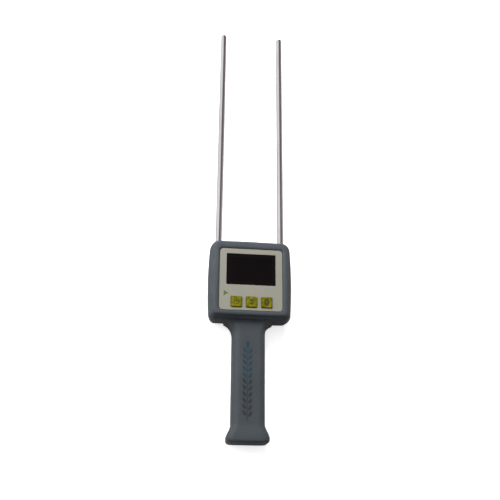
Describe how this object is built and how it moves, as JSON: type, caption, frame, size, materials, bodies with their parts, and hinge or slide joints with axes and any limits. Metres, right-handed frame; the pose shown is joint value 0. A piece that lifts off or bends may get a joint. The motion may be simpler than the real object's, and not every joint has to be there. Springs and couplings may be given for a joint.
{
  "type": "grain moisture meter",
  "caption": "Handheld grain moisture meter with a display and press keys in a square head, a flared handle with a sliding battery cover, and two long parallel probe rods.",
  "frame": {"origin": "on the plane the back rests on, below the centre of the bounding box", "axes": "+Z is the display's outward normal, +Y runs along the probe rods to their tips, +X is to the right of someone reading the display"},
  "size_m": [0.0746, 0.4054, 0.0322],
  "materials": {
    "housing_plastic": "fine moulded texture, blue-grey",
    "panel_cream": "printed satin film on a plate, cream",
    "window_black": "glossy black window",
    "key_yellow": "satin olive-yellow silicone",
    "indicator_green": "translucent green",
    "stainless_steel": "polished stainless steel",
    "bush_nylon": "black nylon",
    "board_green": "green solder mask",
    "component_black": "moulded component body",
    "connector_white": "natural nylon",
    "zinc_steel": "zinc plated",
    "tinned_copper": "tinned",
    "lead_red": "wire insulation",
    "lead_black": "wire insulation",
    "battery_case": "printed metal jacket",
    "label_silver": "silver film label, blank"
  },
  "bodies": {
    "meter": {"battery_connector": "connector_white", "battery_lead_black": "lead_black", "battery_lead_red": "lead_red", "board_screw_bottom_left": "zinc_steel", "board_screw_bottom_right": "zinc_steel", "board_screw_top_left": "zinc_steel", "board_screw_top_right": "zinc_steel", "cell_left_high": "battery_case", "cell_left_low": "battery_case", "cell_right_high": "battery_case", "cell_right_low": "battery_case", "circuit_board": "board_green", "contact_bridge": "tinned_copper", "contact_negative": "tinned_copper", "contact_positive": "tinned_copper", "display_module": "component_black", "display_window": "window_black", "filter_capacitor": "component_black", "front_panel": "panel_cream", "front_shell": "housing_plastic", "indicator_led": "indicator_green", "indicator_lens": "indicator_green", "measuring_chip": "component_black", "microcontroller": "component_black", "probe_connector": "connector_white", "probe_lead_left": "lead_black", "probe_lead_right": "lead_black", "probe_rod_left": "stainless_steel", "probe_rod_right": "stainless_steel", "rating_label": "label_silver", "rear_shell": "housing_plastic", "ring_terminal_left": "tinned_copper", "ring_terminal_right": "tinned_copper", "rod_bush_left": "bush_nylon", "rod_bush_right": "bush_nylon", "rod_screw_left": "zinc_steel", "rod_screw_right": "zinc_steel", "screw_bottom_left": "zinc_steel", "screw_bottom_right": "zinc_steel", "screw_end_left": "zinc_steel", "screw_end_right": "zinc_steel", "screw_top_left": "zinc_steel", "screw_top_right": "zinc_steel", "switch_measure": "component_black", "switch_power": "component_black", "switch_select": "component_black"},
    "power_key": {"key_power": "key_yellow", "switch_plunger_power": "component_black"},
    "select_key": {"key_select": "key_yellow", "switch_plunger_select": "component_black"},
    "measure_key": {"key_measure": "key_yellow", "switch_plunger_measure": "component_black"},
    "cover": {"battery_cover": "housing_plastic"}
  },
  "joints": [
    {"name": "power_key_press", "type": "slide", "parent": "meter", "child": "power_key", "axis": [0, 0, -1], "range_m": [0, 0.0006], "stiffness_N_per_m": 2500},
    {"name": "select_key_press", "type": "slide", "parent": "meter", "child": "select_key", "axis": [0, 0, -1], "range_m": [0, 0.0006], "stiffness_N_per_m": 2500},
    {"name": "measure_key_press", "type": "slide", "parent": "meter", "child": "measure_key", "axis": [0, 0, -1], "range_m": [0, 0.0006], "stiffness_N_per_m": 2500},
    {"name": "battery_cover_slide", "type": "slide", "parent": "meter", "child": "cover", "axis": [0, -1, 0], "range_m": [0, 0.085]}
  ]
}
